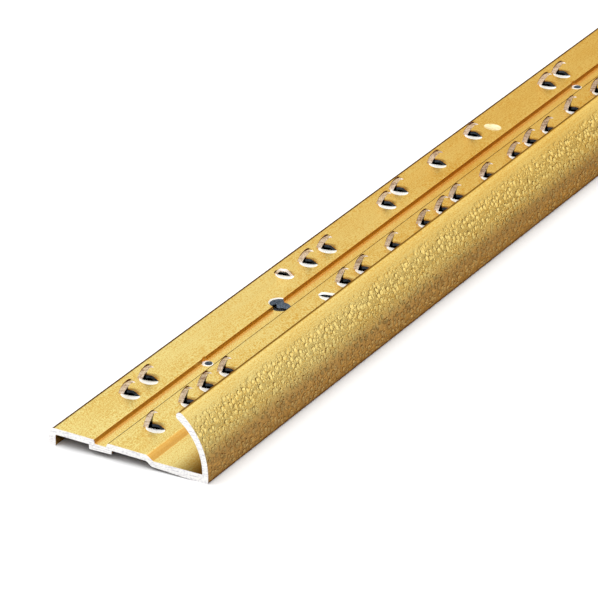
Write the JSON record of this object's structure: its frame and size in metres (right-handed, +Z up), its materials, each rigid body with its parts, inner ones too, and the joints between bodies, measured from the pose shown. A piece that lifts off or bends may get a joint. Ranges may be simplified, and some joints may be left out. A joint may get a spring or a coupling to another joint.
{
  "type": "stair nosing",
  "caption": "Carpet-gripper nosing strip: gold anodised aluminium extrusion with struck teeth, a nail groove and a hammered hood that closes over the carpet's edge.",
  "frame": {"origin": "centre of the strip's footprint, on the floor under it", "axes": "+X across the width from the back lip to the hood, +Y along the length, +Z up out of the floor"},
  "size_m": [0.035, 0.9, 0.0135],
  "materials": {
    "anodised_aluminium": "gold anodised, satin; hammered on the hood; bare metal at cuts"
  },
  "bodies": {
    "root": {"nosing_strip": "anodised_aluminium"}
  },
  "joints": []
}
